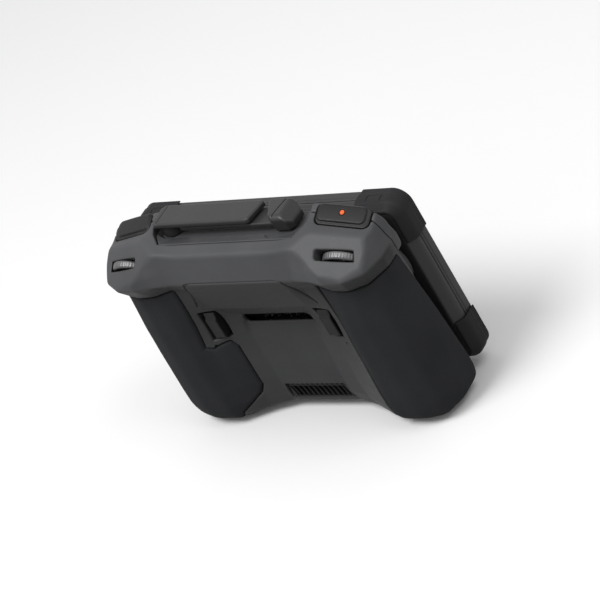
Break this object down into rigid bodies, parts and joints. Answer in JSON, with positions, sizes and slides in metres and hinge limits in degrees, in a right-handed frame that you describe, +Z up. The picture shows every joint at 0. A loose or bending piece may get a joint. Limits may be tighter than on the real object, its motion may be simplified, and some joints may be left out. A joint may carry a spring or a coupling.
{
  "type": "radio transmitter controller",
  "caption": "Handheld drone remote control with a display folded flat over its thumb sticks, swing-out bar antennas, shoulder buttons and dials, and textured grips.",
  "frame": {"origin": "centre of the footprint on the ground plane, with the controller standing on its two grip ends and its display folded shut", "axes": "+Z up from the grip ends towards the antennas, +Y out of the back of the case, -Y out of the folded display, +X towards the user's left hand as seen from behind the case"},
  "size_m": [0.1864, 0.0628, 0.1356],
  "materials": {
    "shell_plastic": "fine moulded grain",
    "dark_plastic": "satin, fine grain",
    "satin_plastic": "satin",
    "grip_rubber": "fine non-slip texture",
    "bumper_rubber": "matte",
    "record_orange": "satin",
    "dial_metal": "knurled rim",
    "pin_steel": "turned",
    "hinge_alloy": "bead blasted",
    "sink_alloy": "extruded",
    "circuit_board": "solder mask",
    "cell_wrap": "film wrap",
    "display_glass": "polished, black behind"
  },
  "bodies": {
    "case": {"rear_shell": "shell_plastic", "front_shell": "shell_plastic", "grip_left": "grip_rubber", "grip_right": "grip_rubber", "antenna_tray": "shell_plastic", "antenna_pivot_left": "pin_steel", "antenna_pivot_right": "pin_steel", "dial_axle_left": "pin_steel", "dial_axle_right": "pin_steel", "dial_bearing_left": "dark_plastic", "dial_bearing_right": "dark_plastic", "vent_grille": "dark_plastic", "fan_housing": "dark_plastic", "heat_sink": "sink_alloy", "main_board": "circuit_board", "battery_pack": "cell_wrap", "usb_port": "pin_steel", "handle_cell_left": "cell_wrap", "handle_cell_right": "cell_wrap", "hinge_bracket": "hinge_alloy", "hinge_pin": "pin_steel", "stick_well_left": "dark_plastic", "stick_well_right": "dark_plastic", "shell_screw_1": "pin_steel", "shell_screw_2": "pin_steel", "shell_screw_3": "pin_steel", "shell_screw_4": "pin_steel"},
    "screen_arm": {"screen_arm": "hinge_alloy", "tilt_pin": "pin_steel"},
    "tilt_bracket": {"tilt_bracket": "hinge_alloy"},
    "screen": {"swivel_hub": "pin_steel", "screen_rear_cover": "satin_plastic", "screen_frame": "satin_plastic", "display_glass": "display_glass", "display_panel": "circuit_board", "bumper_top_left": "bumper_rubber", "bumper_top_right": "bumper_rubber", "bumper_bottom_left": "bumper_rubber", "bumper_bottom_right": "bumper_rubber"},
    "antenna_left": {"antenna_left": "satin_plastic"},
    "antenna_right": {"antenna_right": "satin_plastic"},
    "photo_button": {"photo_button": "dark_plastic"},
    "record_button": {"record_button": "dark_plastic", "record_dot": "record_orange"},
    "dial_wheel_left": {"dial_wheel_left": "dial_metal"},
    "dial_wheel_right": {"dial_wheel_right": "dial_metal"},
    "rear_paddle_left": {"rear_paddle_left": "dark_plastic"},
    "rear_paddle_right": {"rear_paddle_right": "dark_plastic"},
    "stick_lifter_left": {"stick_lifter_left": "hinge_alloy"},
    "gimbal_ring_left": {"gimbal_ring_left": "pin_steel"},
    "stick_left": {"stick_shaft_left": "pin_steel", "stick_cap_left": "grip_rubber"},
    "stick_lifter_right": {"stick_lifter_right": "hinge_alloy"},
    "gimbal_ring_right": {"gimbal_ring_right": "pin_steel"},
    "stick_right": {"stick_shaft_right": "pin_steel", "stick_cap_right": "grip_rubber"},
    "power_button": {"power_button": "satin_plastic"},
    "home_button": {"home_button": "satin_plastic"},
    "five_way_key": {"five_way_key": "satin_plastic"},
    "fan_rotor": {"fan_rotor": "dark_plastic"}
  },
  "joints": [
    {"name": "arm_lift", "type": "hinge", "parent": "case", "child": "screen_arm", "pos_m": [0, -0.0125, 0.118], "axis": [-1, 0, 0], "range_deg": [0, 130]},
    {"name": "screen_tilt", "type": "hinge", "parent": "screen_arm", "child": "tilt_bracket", "pos_m": [0, -0.0125, 0.0635], "axis": [-1, 0, 0], "range_deg": [-146, 0]},
    {"name": "screen_swivel", "type": "hinge", "parent": "tilt_bracket", "child": "screen", "pos_m": [0, -0.016, 0.0635], "axis": [0, -1, 0], "range_deg": [0, 90]},
    {"name": "antenna_left_swing", "type": "hinge", "parent": "case", "child": "antenna_left", "pos_m": [0.0445, -0.0012, 0.13], "axis": [0, 0, -1], "range_deg": [0, 90]},
    {"name": "antenna_right_swing", "type": "hinge", "parent": "case", "child": "antenna_right", "pos_m": [-0.031, -0.0015, 0.127], "axis": [0, 0, 1], "range_deg": [0, 90]},
    {"name": "photo_button_press", "type": "slide", "parent": "case", "child": "photo_button", "axis": [-0.242, -0.384, -0.891], "range_m": [0, 0.001], "stiffness_N_per_m": 1500, "springref_m": -0.0002},
    {"name": "record_button_press", "type": "slide", "parent": "case", "child": "record_button", "axis": [0.242, -0.384, -0.891], "range_m": [0, 0.001], "stiffness_N_per_m": 1500, "springref_m": -0.0002},
    {"name": "dial_left_turn", "type": "hinge", "parent": "case", "child": "dial_wheel_left", "pos_m": [0.0718, 0.0158, 0.1123], "axis": [0, 0.866, -0.5], "range_deg": [-30, 30], "stiffness_Nm_per_rad": 0.02},
    {"name": "paddle_left_press", "type": "slide", "parent": "case", "child": "rear_paddle_left", "axis": [0, -1, 0], "range_m": [0, 0.0015], "stiffness_N_per_m": 1500, "springref_m": -0.0002},
    {"name": "stick_left_pop", "type": "slide", "parent": "case", "child": "stick_lifter_left", "axis": [0, -1, 0], "range_m": [0, 0.0102]},
    {"name": "stick_left_up_down", "type": "hinge", "parent": "stick_lifter_left", "child": "gimbal_ring_left", "pos_m": [0.062, -0.001, 0.082], "axis": [1, 0, 0], "range_deg": [-20, 20], "stiffness_Nm_per_rad": 0.05},
    {"name": "stick_left_left_right", "type": "hinge", "parent": "gimbal_ring_left", "child": "stick_left", "pos_m": [0.062, -0.001, 0.082], "axis": [0, 0, 1], "range_deg": [-20, 20], "stiffness_Nm_per_rad": 0.05},
    {"name": "dial_right_turn", "type": "hinge", "parent": "case", "child": "dial_wheel_right", "pos_m": [-0.0718, 0.0158, 0.1123], "axis": [0, 0.866, -0.5], "range_deg": [-30, 30], "stiffness_Nm_per_rad": 0.02},
    {"name": "paddle_right_press", "type": "slide", "parent": "case", "child": "rear_paddle_right", "axis": [0, -1, 0], "range_m": [0, 0.0015], "stiffness_N_per_m": 1500, "springref_m": -0.0002},
    {"name": "stick_right_pop", "type": "slide", "parent": "case", "child": "stick_lifter_right", "axis": [0, -1, 0], "range_m": [0, 0.0102]},
    {"name": "stick_right_up_down", "type": "hinge", "parent": "stick_lifter_right", "child": "gimbal_ring_right", "pos_m": [-0.062, -0.001, 0.082], "axis": [1, 0, 0], "range_deg": [-20, 20], "stiffness_Nm_per_rad": 0.05},
    {"name": "stick_right_left_right", "type": "hinge", "parent": "gimbal_ring_right", "child": "stick_right", "pos_m": [-0.062, -0.001, 0.082], "axis": [0, 0, 1], "range_deg": [-20, 20], "stiffness_Nm_per_rad": 0.05},
    {"name": "power_button_press", "type": "slide", "parent": "case", "child": "power_button", "axis": [0, 1, 0], "range_m": [0, 0.0007], "stiffness_N_per_m": 1500, "springref_m": -0.0002},
    {"name": "home_button_press", "type": "slide", "parent": "case", "child": "home_button", "axis": [0, 1, 0], "range_m": [0, 0.0007], "stiffness_N_per_m": 1500, "springref_m": -0.0002},
    {"name": "five_way_key_press", "type": "slide", "parent": "case", "child": "five_way_key", "axis": [0, 1, 0], "range_m": [0, 0.0007], "stiffness_N_per_m": 1500, "springref_m": -0.0002},
    {"name": "fan_spin", "type": "hinge", "parent": "case", "child": "fan_rotor", "pos_m": [0, 0.0015, 0.04], "axis": [0, 1, 0], "continuous": true}
  ],
  "couplings": [
    {"joint": "screen_tilt", "follows": "arm_lift", "ratio": -1.115},
    {"joint": "stick_left_pop", "follows": "arm_lift", "m_per_rad": 0.0044},
    {"joint": "stick_right_pop", "follows": "arm_lift", "m_per_rad": 0.0044}
  ]
}
